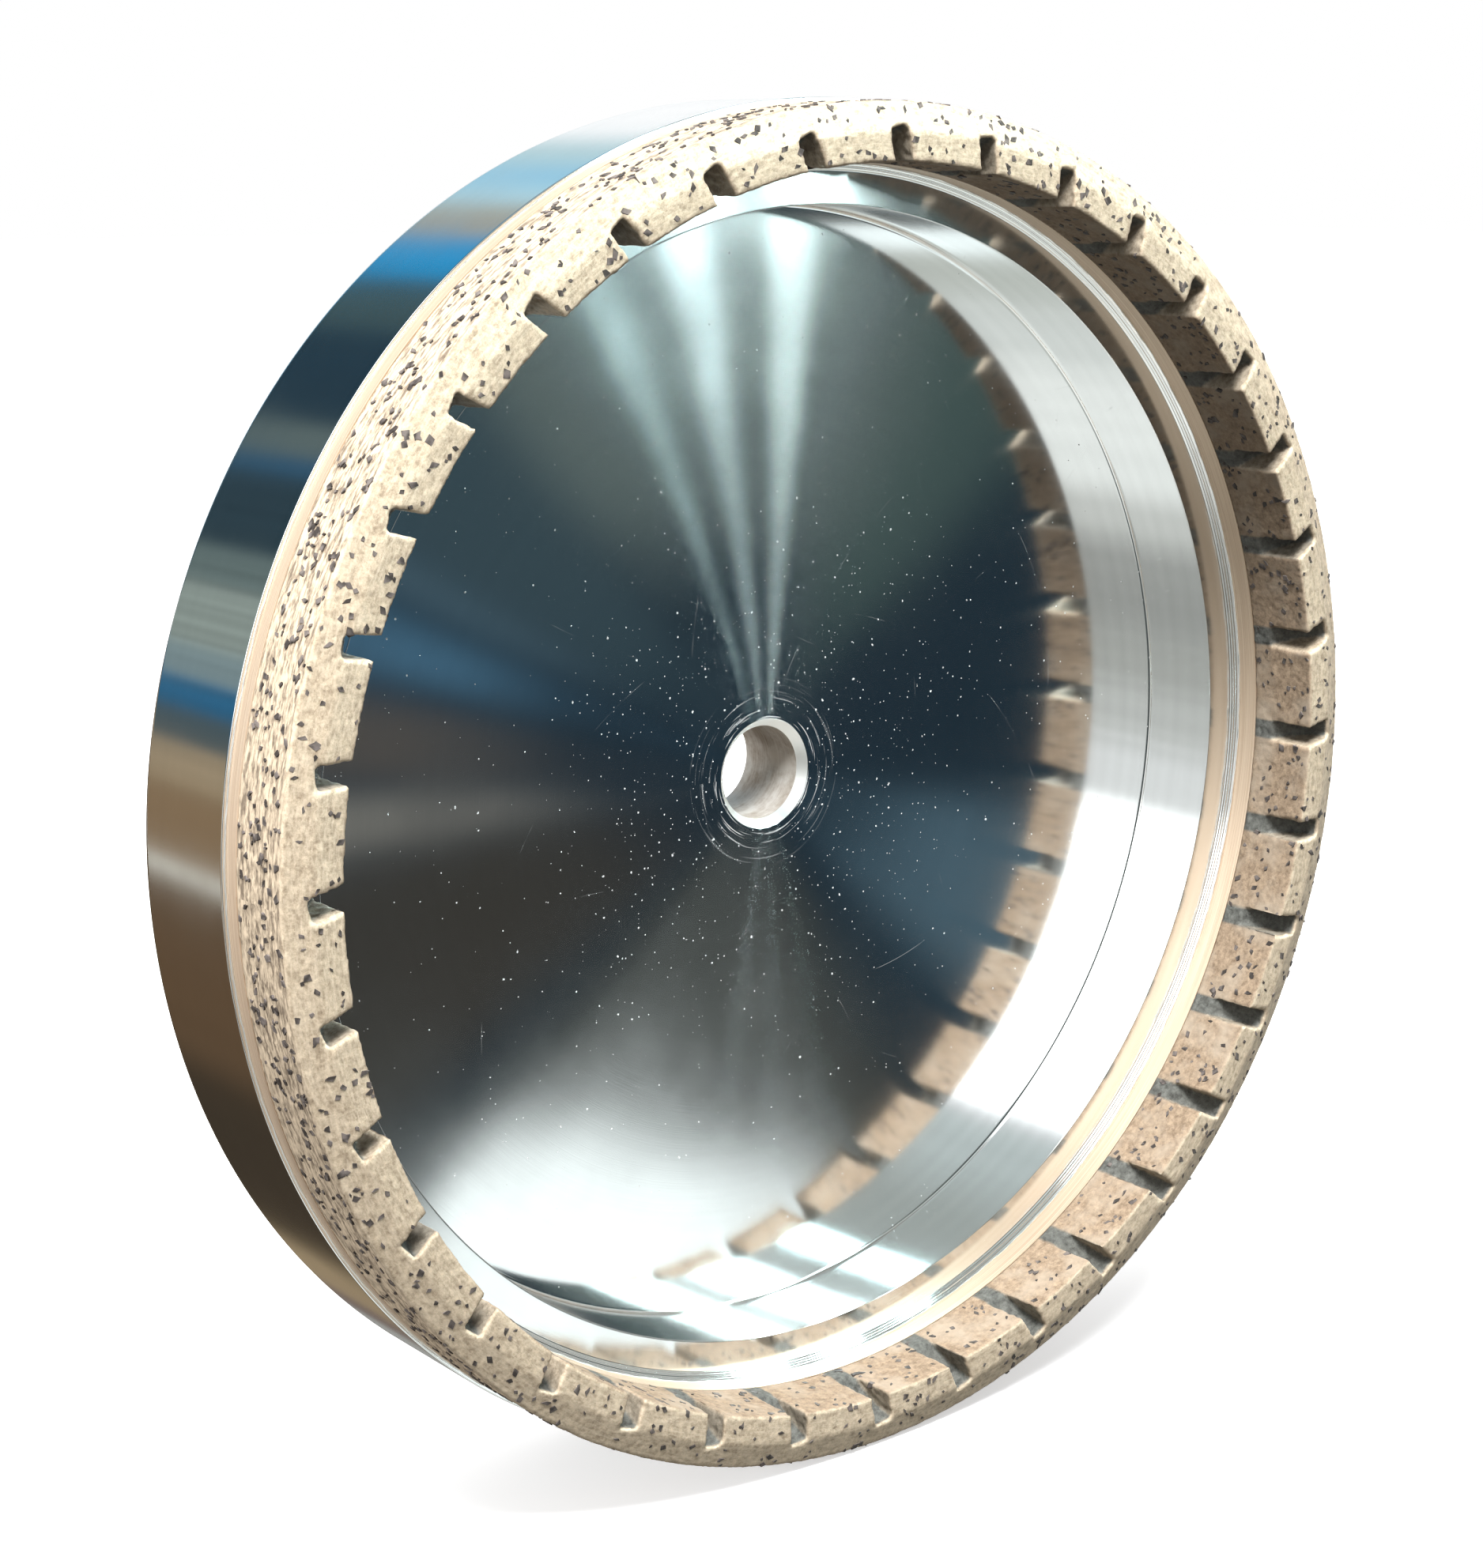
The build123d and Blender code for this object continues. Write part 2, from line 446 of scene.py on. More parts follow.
def diamond_grit():
    """Crystals set flush with the ring's working surfaces, everywhere but in the slots."""
    beyond_slot, beside_slot = 0.6, 0.35
    sides = [
        ((ring_outer, diamond_outside - 0.6), (ring_outer, bevel_drop + 0.4), (1, 0)),
        ((ring_outer - 0.4, bevel_drop - 0.15), (land_outer + 0.3, 0.11), (0.35, -0.94)),
        ((land_outer - 0.1, 0), (ring_inner + 0.4, 0), (0, -1)),
        ((ring_inner, 0.5), (ring_inner, diamond_inside - 0.6), (-1, 0)),
    ]
    crowding = (1.6, 1.1, 1.1, 1.0)
    weights = [math.dist(start, end) * crowd for (start, end, _), crowd in zip(sides, crowding)]
    shapes = crystal_shapes(CRYSTAL_SHAPES)
    vertices, faces = [], []
    for number in range(SLOTS * CRYSTALS_PER_SEGMENT):
        start, end, facing = rng.choices(sides, weights)[0]
        part = rng.random()
        radius = start[0] + (end[0] - start[0]) * part
        depth = start[1] + (end[1] - start[1]) * part
        angle = rng.random() * math.tau
        size = CRYSTAL_SMALLEST + CRYSTAL_SIZE_RANGE * rng.random() ** 1.3
        spin = rng.random() * math.tau
        proud = rng.uniform(*CRYSTALS_PROUD)
        if radius < slot_start + beyond_slot and depth < slot_end_depth + beyond_slot:
            if slot_place(radius, angle) < slot_width / 2 + beside_slot:
                continue
        shape, hull = shapes[number % len(shapes)]
        across = np.array((-facing[1], facing[0]))
        local = shape * size
        spun_x = local[:, 0] * math.cos(spin) - local[:, 1] * math.sin(spin)
        spun_y = local[:, 0] * math.sin(spin) + local[:, 1] * math.cos(spin)
        out = local[:, 2] - local[:, 2].max() + proud
        at_radius = radius + facing[0] * out + across[0] * spun_x
        at_depth = np.maximum(depth + facing[1] * out + across[1] * spun_x, -CRYSTALS_GROUND)
        x = at_radius * math.cos(angle) - spun_y * math.sin(angle)
        z = at_radius * math.sin(angle) + spun_y * math.cos(angle)
        base = len(vertices)
        vertices.extend(np.stack((x, at_depth + FRONT / MM, z), axis=-1) * MM)
        faces.extend([base + corner for corner in face] for face in hull)
    piece = mesh_object("diamond_grit_crystals", vertices, faces)
    piece.data.shade_flat()
    return piece


def transition_ring():
    edge = 0.05
    points, sections = rounded([
        (ring_inner, diamond_inside, edge),
        (ring_outer, diamond_outside, edge),
        (ring_outer, transition_back, edge),
        (ring_inner, transition_back, edge),
    ])
    points, sections = refined(points, sections, 0.2)

    def turned_lines(radius, depth, angle):
        """Uneven lines left by the lathe, cut slightly below the ring's own radii."""
        lines = 0.012 * np.sin(depth * 9.0) + 0.008 * np.sin(depth * 23.0 + 1)
        waver = 0.01 * np.sin(angle * 7) + 0.01 * np.sin(angle * 19 + depth)
        swell = lines + waver - 0.05
        outer = radius > ring_outer - 0.02
        inner = radius < ring_inner + 0.02
        return radius + outer * swell - inner * swell, depth

    return turned("transition_ring_turned", points, sections, turned_lines)


def solder_seam():
    inset, edge = 0.02, 0.04
    points, sections = rounded([
        (ring_inner + inset, transition_back, edge),
        (ring_outer - inset, transition_back, edge),
        (ring_outer - inset, seat, edge),
        (ring_inner + inset, seat, edge),
    ], guard=0.02)

    def beaded(radius, depth, angle):
        """The film squeezes out unevenly at both edges."""
        bead = BEAD_WIDTH
        for height, waves, phase in BEAD_WAVES:
            bead = bead + height * np.sin(angle * waves + phase)
        outer = radius > ring_outer - 0.1
        inner = radius < ring_inner + 0.1
        return radius + outer * bead - inner * bead, depth

    return turned("solder_seam_bead", points, sections, beaded)


# ---- materials -----------------------------------------------------------------------------------
class Graph:
    """Builds a node tree with short calls. Inputs are values or other nodes' outputs."""

    def __init__(self, tree):
        self.tree = tree
        tree.nodes.clear()

    def node(self, kind, inputs=None, **settings):
        made = self.tree.nodes.new("ShaderNode" + kind)
        for key, value in settings.items():
            setattr(made, key, value)
        for key, value in (inputs or {}).items():
            self.feed(made.inputs[key], value)
        return made

    def feed(self, socket, value):
        if isinstance(value, bpy.types.NodeSocket):
            self.tree.links.new(value, socket)
        elif hasattr(socket.default_value, "__len__") and len(socket.default_value) == 4 and len(value) == 3:
            socket.default_value = (*value, 1)
        else:
            socket.default_value = value

    def math(self, operation, first, second=0.0, third=0.0):
        return self.node("Math", {0: first, 1: second, 2: third}, operation=operation).outputs[0]

    def vector(self, operation, first, second=(0, 0, 0)):
        made = self.node("VectorMath", {0: first, 1: second}, operation=operation)
        return made.outputs["Value" if operation in ("LENGTH", "DOT_PRODUCT") else "Vector"]

    def split(self, vector):
        return self.node("SeparateXYZ", {0: vector}).outputs

    def join(self, x, y, z):
        return self.node("CombineXYZ", {0: x, 1: y, 2: z}).outputs[0]

    def range(self, value, low, high, start=0.0, end=1.0, smooth=False):
        kind = "SMOOTHSTEP" if smooth else "LINEAR"
        inputs = {"Value": value, "From Min": low, "From Max": high, "To Min": start, "To Max": end}
        return self.node("MapRange", inputs, interpolation_type=kind).outputs[0]

    def noise(self, vector, scale, detail=2.0, roughness=0.5):
        inputs = {"Vector": vector, "Scale": scale, "Detail": detail, "Roughness": roughness}
        return self.node("TexNoise", inputs).outputs["Fac"]

    def mix(self, share, first, second):
        made = self.node("Mix", data_type="RGBA")
        self.feed(made.inputs[0], share)
        self.feed(made.inputs[6], first)
        self.feed(made.inputs[7], second)
        return made.outputs[2]

    def blend(self, share, first, second):
        """Two shaders mixed."""
        made = self.node("MixShader")
        for socket, value in zip(made.inputs, (share, first, second)):
            self.feed(socket, value)
        return made.outputs[0]

    def ramp(self, value, stops):
        made = self.node("ValToRGB", {0: value})
        elements = made.color_ramp.elements
        while len(elements) < len(stops):
            elements.new(0.5)
        for element, (position, colour) in zip(elements, stops):
            element.position = position
            element.color = (*colour, 1)
        return made.outputs[0]

    def bump(self, height, distance, strength):
        return self.node("Bump", {"Height": height, "Distance": distance, "Strength": strength}).outputs[0]


def material(name, build):
    made = bpy.data.materials.new(name)
    made.use_nodes = True
    graph = Graph(made.node_tree)
    shader = build(graph)
    output = graph.node("OutputMaterial")
    graph.tree.links.new(shader, output.inputs["Surface"])
    return made


def position(graph):
    """The shaded point in millimetres, as place (x, depth, z) with depth from the land, radius and angle."""
    raw = graph.node("TexCoord").outputs["Object"]
    scaled = graph.node("VectorMath", {0: raw, 3: 1 / MM}, operation="SCALE").outputs[0]
    place = graph.vector("SUBTRACT", scaled, (0, FRONT / MM, 0))
    x, depth, z = graph.split(place)
    radius = graph.vector("LENGTH", graph.join(x, 0.0, z))
    angle = graph.math("ARCTAN2", z, x)
    return SimpleNamespace(place=place, x=x, depth=depth, z=z, radius=radius, angle=angle)


def along_profile(graph, at):
    """The direction across a turned surface's tool marks: the normal crossed with the way round."""
    normal = graph.node("NewGeometry").outputs["Normal"]
    way_round = graph.vector("NORMALIZE", graph.join(graph.math("MULTIPLY", at.z, -1.0), 0.0, at.x))
    return graph.vector("CROSS_PRODUCT", normal, way_round)


# Bright specks, in two sizes: cells per millimetre, the share of cells that hold one near the bore and far
# out, and the smallest and largest speck as shares of a cell.
SPECK_LAYERS = [
    (0.9, 0.16, 0.025, 0.05, 0.15),
    (1.9, 0.10, 0.010, 0.07, 0.24),
]
SCRATCHES = 9


def specks(graph, at):
    """Where the bright nicks and dust specks lie on a flat face: small, ragged, thicker round the bore."""
    flat = graph.join(at.x, at.z, 0.0)
    ragged = graph.range(graph.noise(flat, 3.0, 2.0), 0.35, 0.65, 0.4, 1.5)
    layers = []
    for scale, share_near, share_far, smallest, largest in SPECK_LAYERS:
        cell = graph.node("TexVoronoi", {"Vector": flat, "Scale": scale}, voronoi_dimensions="2D")
        chance, size, _ = graph.split(cell.outputs["Color"])
        share = graph.range(at.radius, bore, 45.0, share_near, share_far)
        wanted = graph.math("LESS_THAN", chance, share)
        reach = graph.range(graph.math("POWER", size, 3.0), 0.0, 1.0, smallest, largest)
        inside = graph.math("LESS_THAN", cell.outputs["Distance"], graph.math("MULTIPLY", reach, ragged))
        layers.append(graph.math("MULTIPLY", wanted, inside))
    return graph.math("MAXIMUM", *layers)


def scratches(graph, at):
    """A few long faint arcs left by handling, and scuffs round the bore where a nut has turned."""
    draws = random.Random(7)
    lines = 0.0
    for _ in range(SCRATCHES):
        bend = draws.uniform(25, 140)
        away = draws.uniform(0, math.tau)
        through = (draws.uniform(-45, 45), draws.uniform(-45, 45))
        centre = (through[0] + bend * math.cos(away), 0, through[1] + bend * math.sin(away))
        reach = graph.vector("LENGTH", graph.vector("SUBTRACT", graph.join(at.x, 0.0, at.z), centre))
        gap = graph.math("ABSOLUTE", graph.math("SUBTRACT", reach, bend))
        line = graph.range(gap, 0.07, 0.01, 0.0, draws.uniform(0.15, 0.4))
        broken = graph.noise(graph.vector("ADD", at.place, through + (bend,)), 0.06, 3.0, 0.7)
        lines = graph.math("MAXIMUM", lines, graph.math("MULTIPLY", line, graph.range(broken, 0.56, 0.64)))
    rings = graph.join(graph.math("MULTIPLY", at.radius, 3.5), graph.math("MULTIPLY", at.angle, 1.1), 3.0)
    scuffed = graph.range(graph.noise(rings, 1.0, 3.0), 0.58, 0.66)
    near_bore = graph.range(at.radius, bore + 7.0, bore + 1.5, 0.0, 0.7)
    return graph.math("MAXIMUM", lines, graph.math("MULTIPLY", scuffed, near_bore))


HAZE_ROUGHNESS = 0.12
HAZE_SPREAD = -0.79       # below 0, this node's reflection is drawn out along the tangent


def turned_metal(colour, roughness, spread, haze=0.0, marks=False, ridges=0.06):
    """Bright metal from the lathe: sharp round the axis, blurred across the tool marks. haze is the share of
    the light that the tool marks scatter far across them, and marks adds specks and scratches."""
    def build(graph):
        at = position(graph)
        across = graph.math("ADD", at.radius, at.depth)
        fine = graph.noise(graph.join(across, 0.0, 0.0), 7.0, 3.0, 0.6)
        broad = graph.noise(graph.join(across, 0.0, 0.0), 0.6, 2.0)
        smear = graph.noise(at.place, 0.04, 4.0, 0.6)
        rough = graph.math("ADD", roughness, graph.range(fine, 0.3, 0.7, -0.012, 0.012))
        rough = graph.math("ADD", rough, graph.range(smear, 0.4, 0.7, -0.01, 0.02))
        tint = graph.mix(graph.range(broad, 0.35, 0.65), colour, [c * 0.975 for c in colour])
        tangent = along_profile(graph, at)
        bright = {
            "Base Color": tint,
            "Metallic": 1.0,
            "Roughness": rough,
            "Anisotropic": spread,
            "Tangent": tangent,
            "Normal": graph.bump(fine, 0.00001, ridges),
        }
        shader = graph.node("BsdfPrincipled", bright).outputs[0]
        if haze:
            wide = graph.node("BsdfAnisotropic", {
                "Color": tint,
                "Roughness": HAZE_ROUGHNESS,
                "Anisotropy": HAZE_SPREAD,
                "Tangent": tangent,
            }).outputs[0]
            sparkle = graph.range(graph.noise(at.place, 1.6, 2.0, 0.7), 0.3, 0.7, 0.85, 1.15)
            share = graph.math("MULTIPLY", sparkle, graph.range(smear, 0.35, 0.7, haze * 0.75, haze * 1.25))
            shader = graph.blend(share, shader, wide)
        if marks:
            lines = scratches(graph, at)
            damage = graph.math("MAXIMUM", specks(graph, at), lines)
            torn = {"Base Color": (0.85, 0.88, 0.89), "Metallic": 0.3, "Roughness": 0.5}
            shader = graph.blend(damage, shader, graph.node("BsdfPrincipled", torn).outputs[0])
        return shader
    return build


def rear_turned(graph):
    """The plainly turned back of the wheel: fine rings, duller than the front."""
    at = position(graph)
    rings = graph.noise(graph.join(graph.math("ADD", at.radius, at.depth), 0.0, 0.0), 2.5, 4.0, 0.7)
    stain = graph.noise(at.place, 0.03, 4.0, 0.6)
    colour = graph.mix(graph.range(rings, 0.35, 0.65), (0.60, 0.61, 0.61), (0.74, 0.75, 0.75))
    colour = graph.mix(graph.range(stain, 0.45, 0.7, 0.0, 0.35), colour, (0.58, 0.57, 0.55))
    shader = graph.node("BsdfPrincipled", {
        "Base Color": colour,
        "Metallic": 0.55,
        "Roughness": graph.range(rings, 0.3, 0.7, 0.36, 0.48),
        "Anisotropic": 0.8,
        "Tangent": along_profile(graph, at),
        "Normal": graph.bump(rings, 0.00002, 0.4),
    })
    return shader.outputs[0]


def bored(graph):
    """The dull reamed wall of the bore, stained in patches."""
    at = position(graph)
    stain = graph.noise(at.place, 0.25, 4.0, 0.7)
    rings = graph.noise(graph.join(graph.math("MULTIPLY", at.depth, 3.0), at.angle, 0.0), 1.0, 3.0)
    colour = graph.mix(graph.range(stain, 0.42, 0.62), (0.62, 0.59, 0.54), (0.40, 0.34, 0.28))
    colour = graph.mix(graph.range(rings, 0.4, 0.7, 0.0, 0.5), colour, (0.75, 0.73, 0.69))
    shader = graph.node("BsdfPrincipled", {
        "Base Color": colour,
        "Metallic": 0.45,
        "Roughness": graph.range(stain, 0.35, 0.65, 0.45, 0.65),
        "Normal": graph.bump(rings, 0.00003, 0.5),
    })
    return shader.outputs[0]


def bond(graph):
    """Sintered bronze: cream where it is dressed, dull and dragged on the outside. The inner wall's own brown
    is darkened as painted shade, and the slots' grey is darkened to near black as painted shade.
    """
    at = position(graph)
    outside = graph.node("Attribute", attribute_name="outside").outputs["Fac"]
    inside = graph.node("Attribute", attribute_name="inside").outputs["Fac"]
    slot = graph.node("Attribute", attribute_name="slot").outputs["Fac"]
    arc = graph.math("MULTIPLY", at.angle, ring_outer)
    stretched = graph.join(graph.math("MULTIPLY", arc, 0.22), at.depth, at.radius)
    dragged = graph.noise(stretched, 2.2, 4.0, 0.65)
    grain = graph.noise(at.place, 1.1, 6.0, 0.75)
    patch = graph.noise(at.place, 0.16, 3.0, 0.6)
    cream = graph.mix(graph.range(grain, 0.32, 0.66), (0.24, 0.18, 0.12), (0.64, 0.53, 0.39))
    cream = graph.mix(graph.range(dragged, 0.42, 0.72, 0.0, 0.6), cream, (0.77, 0.66, 0.51))
    dull = graph.mix(graph.range(dragged, 0.38, 0.58), (0.13, 0.10, 0.075), (0.60, 0.49, 0.36))
    # Painted shade: the inner wall's own brown bond, darkened all round to stand in for the shade inside the
    # cup.
    inner_brown_and_shade = graph.mix(graph.range(grain, 0.3, 0.7), (0.13, 0.09, 0.06), (0.41, 0.315, 0.22))
    inner_brown_and_shade = graph.mix(graph.range(patch, 0.45, 0.65, 0.0, 0.7), inner_brown_and_shade, (0.37, 0.31, 0.24))
    # Painted shade: the slots' grey runs down to near black to stand in for the shade inside them.
    grey = graph.mix(graph.range(grain, 0.3, 0.7), (0.03, 0.03, 0.027), (0.17, 0.175, 0.16))
    colour = graph.mix(graph.math("MULTIPLY", outside, 0.85), cream, dull)
    # Painted shade laid over the dressed and outside colours: the darkened inner wall, then the near black
    # slots.
    colour = graph.mix(inside, colour, inner_brown_and_shade)
    colour = graph.mix(slot, colour, grey)
    matt = graph.math("MAXIMUM", slot, graph.math("MULTIPLY", outside, 0.6))
    matt = graph.math("MAXIMUM", matt, inside)
    coarse = graph.mix(outside, grain, dragged)
    shader = graph.node("BsdfPrincipled", {
        "Base Color": colour,
        "Metallic": graph.range(matt, 0.0, 1.0, 0.30, 0.08),
        "Roughness": graph.range(graph.math("ADD", matt, grain), 0.3, 1.6, 0.40, 0.78),
        "Normal": graph.bump(coarse, 0.00015, 0.5),
    })
    return shader.outputs[0]


def crystal(graph):
    """Dark grey grit, lighter in some places than in others."""
    place = position(graph).place
    tone = graph.noise(place, 0.9, 1.0)
    colour = graph.mix(graph.range(tone, 0.4, 0.65), (0.040, 0.034, 0.031), (0.15, 0.13, 0.12))
    shader = graph.node("BsdfPrincipled", {
        "Base Color": colour,
        "Roughness": 0.55,
        "Specular IOR Level": 0.25,
        "Normal": graph.bump(graph.noise(place, 4.0, 3.0), 0.00005, 0.5),
    })
    return shader.outputs[0]


def copper(graph):
    """The copper-rich backing of the sintered ring, with fine lines round it."""
    at = position(graph)
    across = graph.math("MULTIPLY", at.depth, 8.0)
    way_round = graph.math("MULTIPLY", at.angle, 2.0)
    fine = graph.noise(graph.join(at.radius, across, way_round), 1.5, 3)
    colour = graph.mix(graph.range(fine, 0.3, 0.7), (0.52, 0.37, 0.25), (0.76, 0.63, 0.49))
    shader = graph.node("BsdfPrincipled", {
        "Base Color": colour,
        "Metallic": 0.55,
        "Roughness": 0.42,
        "Anisotropic": 0.6,
        "Tangent": along_profile(graph, at),
        "Normal": graph.bump(fine, 0.00004, 0.5),
    })
    return shader.outputs[0]


# ---- pieces --------------------------------------------------------------------------------------
def place_piece(piece, node, slot, *materials):
    piece.data.materials.clear()
    for made in materials:
        piece.data.materials.append(made)
    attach(piece, "root")
    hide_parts(node)


ALUMINIUM = (0.86, 0.88, 0.89)
web_metal = material("web_turned", turned_metal(ALUMINIUM, 0.09, 0.65, haze=0.10, marks=True))
wall_metal = material("wall_turned", turned_metal(ALUMINIUM, 0.11, 0.85, haze=0.10, ridges=0.006))
chamfer_metal = material("chamfer_bright", turned_metal((0.95, 0.96, 0.96), 0.5, 0.6))
bore_metal = material("bore_dull", bored)
rear_metal = material("rear_turned", rear_turned)
seam_metal = material("solder_bright", turned_metal((0.93, 0.94, 0.93), 0.5, 0.0))
bond_metal = material("bronze_bond", bond)
crystal_grey = material("crystal_grey", crystal)
copper_metal = material("copper_bronze", copper)

body = cup_body()
finish_of_section = {
    WEB: web_metal,
    FRONT_CHAMFER: chamfer_metal,
    REAR_CHAMFER: chamfer_metal,
    BORE_WALL: bore_metal,
    REAR_FACE: rear_metal,
    BOSS_WALL: rear_metal,
    BOSS_FACE: rear_metal,
}
finishes = [wall_metal, web_metal, chamfer_metal, bore_metal, rear_metal]
place_piece(body, "cup_body", "body", *finishes)
section = np.empty(len(body.data.polygons), dtype=np.int32)
body.data.attributes["section"].data.foreach_get("value", section)
finish = np.zeros(len(section), dtype=np.int32)
for number, made in finish_of_section.items():
    finish[section == number] = finishes.index(made)
body.data.polygons.foreach_set("material_index", finish)
place_piece(transition_ring(), "transition_ring", "transition", copper_metal)
place_piece(solder_seam(), "solder_seam", "solder", seam_metal)
place_piece(diamond_ring(), "diamond_ring", "bond", bond_metal)
place_piece(diamond_grit(), "diamond_grit", "grit", crystal_grey)


# ---- studio --------------------------------------------------------------------------------------
CAMERA_PLACE = Vector((-0.2332, -0.2955, 0.0796))
CAMERA_AZIMUTH = math.radians(-38.42)
CAMERA_ELEVATION = math.radians(12.31)
FLOOR_HALF = 6.0
DOME = ((0.10, 0.085, 0.07), (0.44, 0.44, 0.44), (0.66, 0.66, 0.66))    # below, level and overhead
FACING_WEB = (0.05, 0.06, 0.06)
ROUND_CAMERA = (0.014, 0.028, 0.041)


def backdrop():
    """A white floor under the wheel, bright enough to vanish into the background."""
    mesh = bpy.data.meshes.new("floor")
    level = CAD_BOX[0].z
    corners = [(x * FLOOR_HALF, y * FLOOR_HALF, level) for x, y in ((-1, -1), (1, -1), (1, 1), (-1, 1))]
    mesh.from_pydata(corners, [], [(0, 1, 2, 3)])
    floor = bpy.data.objects.new("floor", mesh)
    bpy.context.scene.collection.objects.link(floor)

    def paper(graph):
        place = graph.node("TexCoord").outputs["Object"]
        tone = graph.mix(graph.noise(place, 3.0, 2.0), (0.90, 0.90, 0.90), (0.94, 0.94, 0.94))
        glow = {"Base Color": tone, "Roughness": 1.0, "Emission Color": (1, 1, 1), "Emission Strength": 0.52}
        return graph.node("BsdfPrincipled", {**glow, "Specular IOR Level": 0.0}).outputs[0]

    mesh.materials.append(material("floor_paper", paper))
    floor.visible_glossy = False
    floor.visible_diffuse = False


def bands(graph, angle, rows):
    """Bands of colour by angle round the spin axis, each (from, to, colour) in degrees from -180 to 180.
    The gaps between them are blended. A ramp holds 32 stops, so each half turn has its own."""
    halves = []
    for low, high in ((-180, 0), (0, 180)):
        share = graph.range(angle, math.radians(low), math.radians(high))
        stops = []
        for start, end, colour in rows:
            for place in sorted({start, end}):
                if low <= place <= high:
                    stops.append(((place - low) / (high - low), colour))
        halves.append(graph.ramp(share, stops))
    plain = graph.mix(graph.math("GREATER_THAN", angle, 0.0), *halves)
    streaks = graph.noise(graph.join(graph.math("MULTIPLY", angle, 38.0), 0.0, 0.0), 1.0, 3.0, 0.7)
    shade = graph.range(streaks, 0.3, 0.7, 0.55, 1.45)
    return graph.vector("MULTIPLY", plain, graph.join(shade, shade, shade))


def sector(graph, below, angle, reach, span, near, far, soft, colour):
    """A soft-edged wedge of the room as the web shows it. span is its range of angles round the direction
    that the hub mirrors to the camera. near and far are its limits outwards from that direction."""
    near_edge, far_edge = 0.012, 0.05
    turn = math.radians(soft)
    start, end = (math.radians(edge) for edge in span)
    mask = graph.math(
        "MULTIPLY",
        graph.math(
            "MULTIPLY",
            graph.range(angle, start - turn, start + turn, smooth=True),
            graph.range(angle, end + turn, end - turn, smooth=True),
        ),
        graph.math(
            "MULTIPLY",
            graph.range(reach, near - near_edge, near + near_edge, smooth=True),
            graph.range(reach, far + far_edge, far - far_edge, smooth=True),
        ),
    )
    return graph.mix(mask, below, colour)


def reflected_room(graph, direction):
    """The room as the metal shows it: bands behind the wheel and ahead of it, and in front of the web a dark
    disc round the camera with wedges of the room."""
    x, y, z = graph.split(direction)
    angle = graph.math("ARCTAN2", z, x)
    behind = bands(graph, angle, BANDS_BEHIND)
    ahead = bands(graph, angle, BANDS_AHEAD)
    off_axis = graph.vector("LENGTH", graph.join(x, 0.0, z))
    ahead = graph.mix(graph.range(off_axis, 0.42, 0.6, smooth=True), FACING_WEB, ahead)
    to_hub = (Vector((0, FRONT + web_at_hub * MM, 0)) - CAMERA_PLACE).normalized()
    across, up = graph.math("SUBTRACT", x, to_hub.x), graph.math("SUBTRACT", z, to_hub.z)
    turn = graph.math("WRAP", graph.math("ARCTAN2", up, across), math.tau, 0.0)
    reach = graph.vector("LENGTH", graph.join(across, up, 0.0))
    ahead = graph.mix(graph.range(reach, 0.30, 0.20, smooth=True), ahead, ROUND_CAMERA)
    for wedge in WEDGES_AHEAD:
        ahead = sector(graph, ahead, turn, reach, *wedge)
    return graph.mix(graph.range(y, -0.02, 0.02), ahead, behind)


BANDS_BEHIND = [
    (-180, -177, (0.07, 0.10, 0.11)),
    (-176, -170, (0.36, 0.28, 0.18)),      # tan furniture
    (-167, -154.5, (0.24, 0.16, 0.09)),
    (-153, -152.3, (1.0, 1.0, 0.9)),       # pale edge
    (-150, -118, (0.12, 0.075, 0.042)),    # brown floor, darker underneath
    (-110, -77, (0.05, 0.038, 0.026)),
    (-71, -62, (0.35, 0.265, 0.16)),
    (-58, -54, (0.16, 0.12, 0.11)),
    (-52, -36, (0.38, 0.39, 0.37)),
    (0, 36, (1.1, 1.1, 1.1)),              # window
    (43, 47, (0.50, 0.70, 0.74)),          # sky
    (54, 55, (0.28, 0.62, 0.86)),
    (60, 62, (0.52, 0.82, 0.94)),
    (65.5, 73, (0.42, 0.385, 0.295)),      # tan wall
    (74.5, 84, (0.015, 0.33, 0.68)),       # blue door
    (86, 97, (0.055, 0.095, 0.10)),
    (98.5, 118, (0.018, 0.043, 0.065)),    # dark room
    (120, 125, (0.12, 0.16, 0.155)),
    (127, 129, (0.03, 0.10, 0.18)),
    (130.5, 144.5, (0.027, 0.052, 0.068)),
    (146.5, 152, (0.13, 0.175, 0.17)),
    (154, 164, (0.27, 0.32, 0.29)),        # pale wall
    (166, 170.5, (0.21, 0.28, 0.29)),
    (172, 176, (0.025, 0.13, 0.25)),       # blue cloth
    (178, 180, (0.07, 0.10, 0.11)),
]
BANDS_AHEAD = [
    (-180, -177, (0.95, 0.95, 0.92)),
    (-170, -166, (0.68, 0.68, 0.64)),
    (-158, -154, (0.50, 0.50, 0.46)),
    (-147, -134, (0.42, 0.42, 0.39)),
    (-126, -122, (0.75, 0.75, 0.70)),
    (-116, -92, (1.08, 1.09, 1.03)),       # pale ceiling
    (-82, -72, (0.84, 0.86, 0.81)),
    (-60, -42, (0.62, 0.64, 0.58)),
    (-25, -12, (0.50, 0.51, 0.47)),
    (-6, 0, (0.55, 0.56, 0.52)),
    (20, 24, (0.60, 0.62, 0.58)),
    (66, 78, (0.44, 0.47, 0.44)),
    (92, 100, (0.62, 0.68, 0.66)),
    (103, 104, (1.0, 1.0, 1.0)),
    (106, 168, (3.0, 3.0, 2.9)),           # large window behind the camera
    (176, 180, (0.95, 0.95, 0.92)),
]
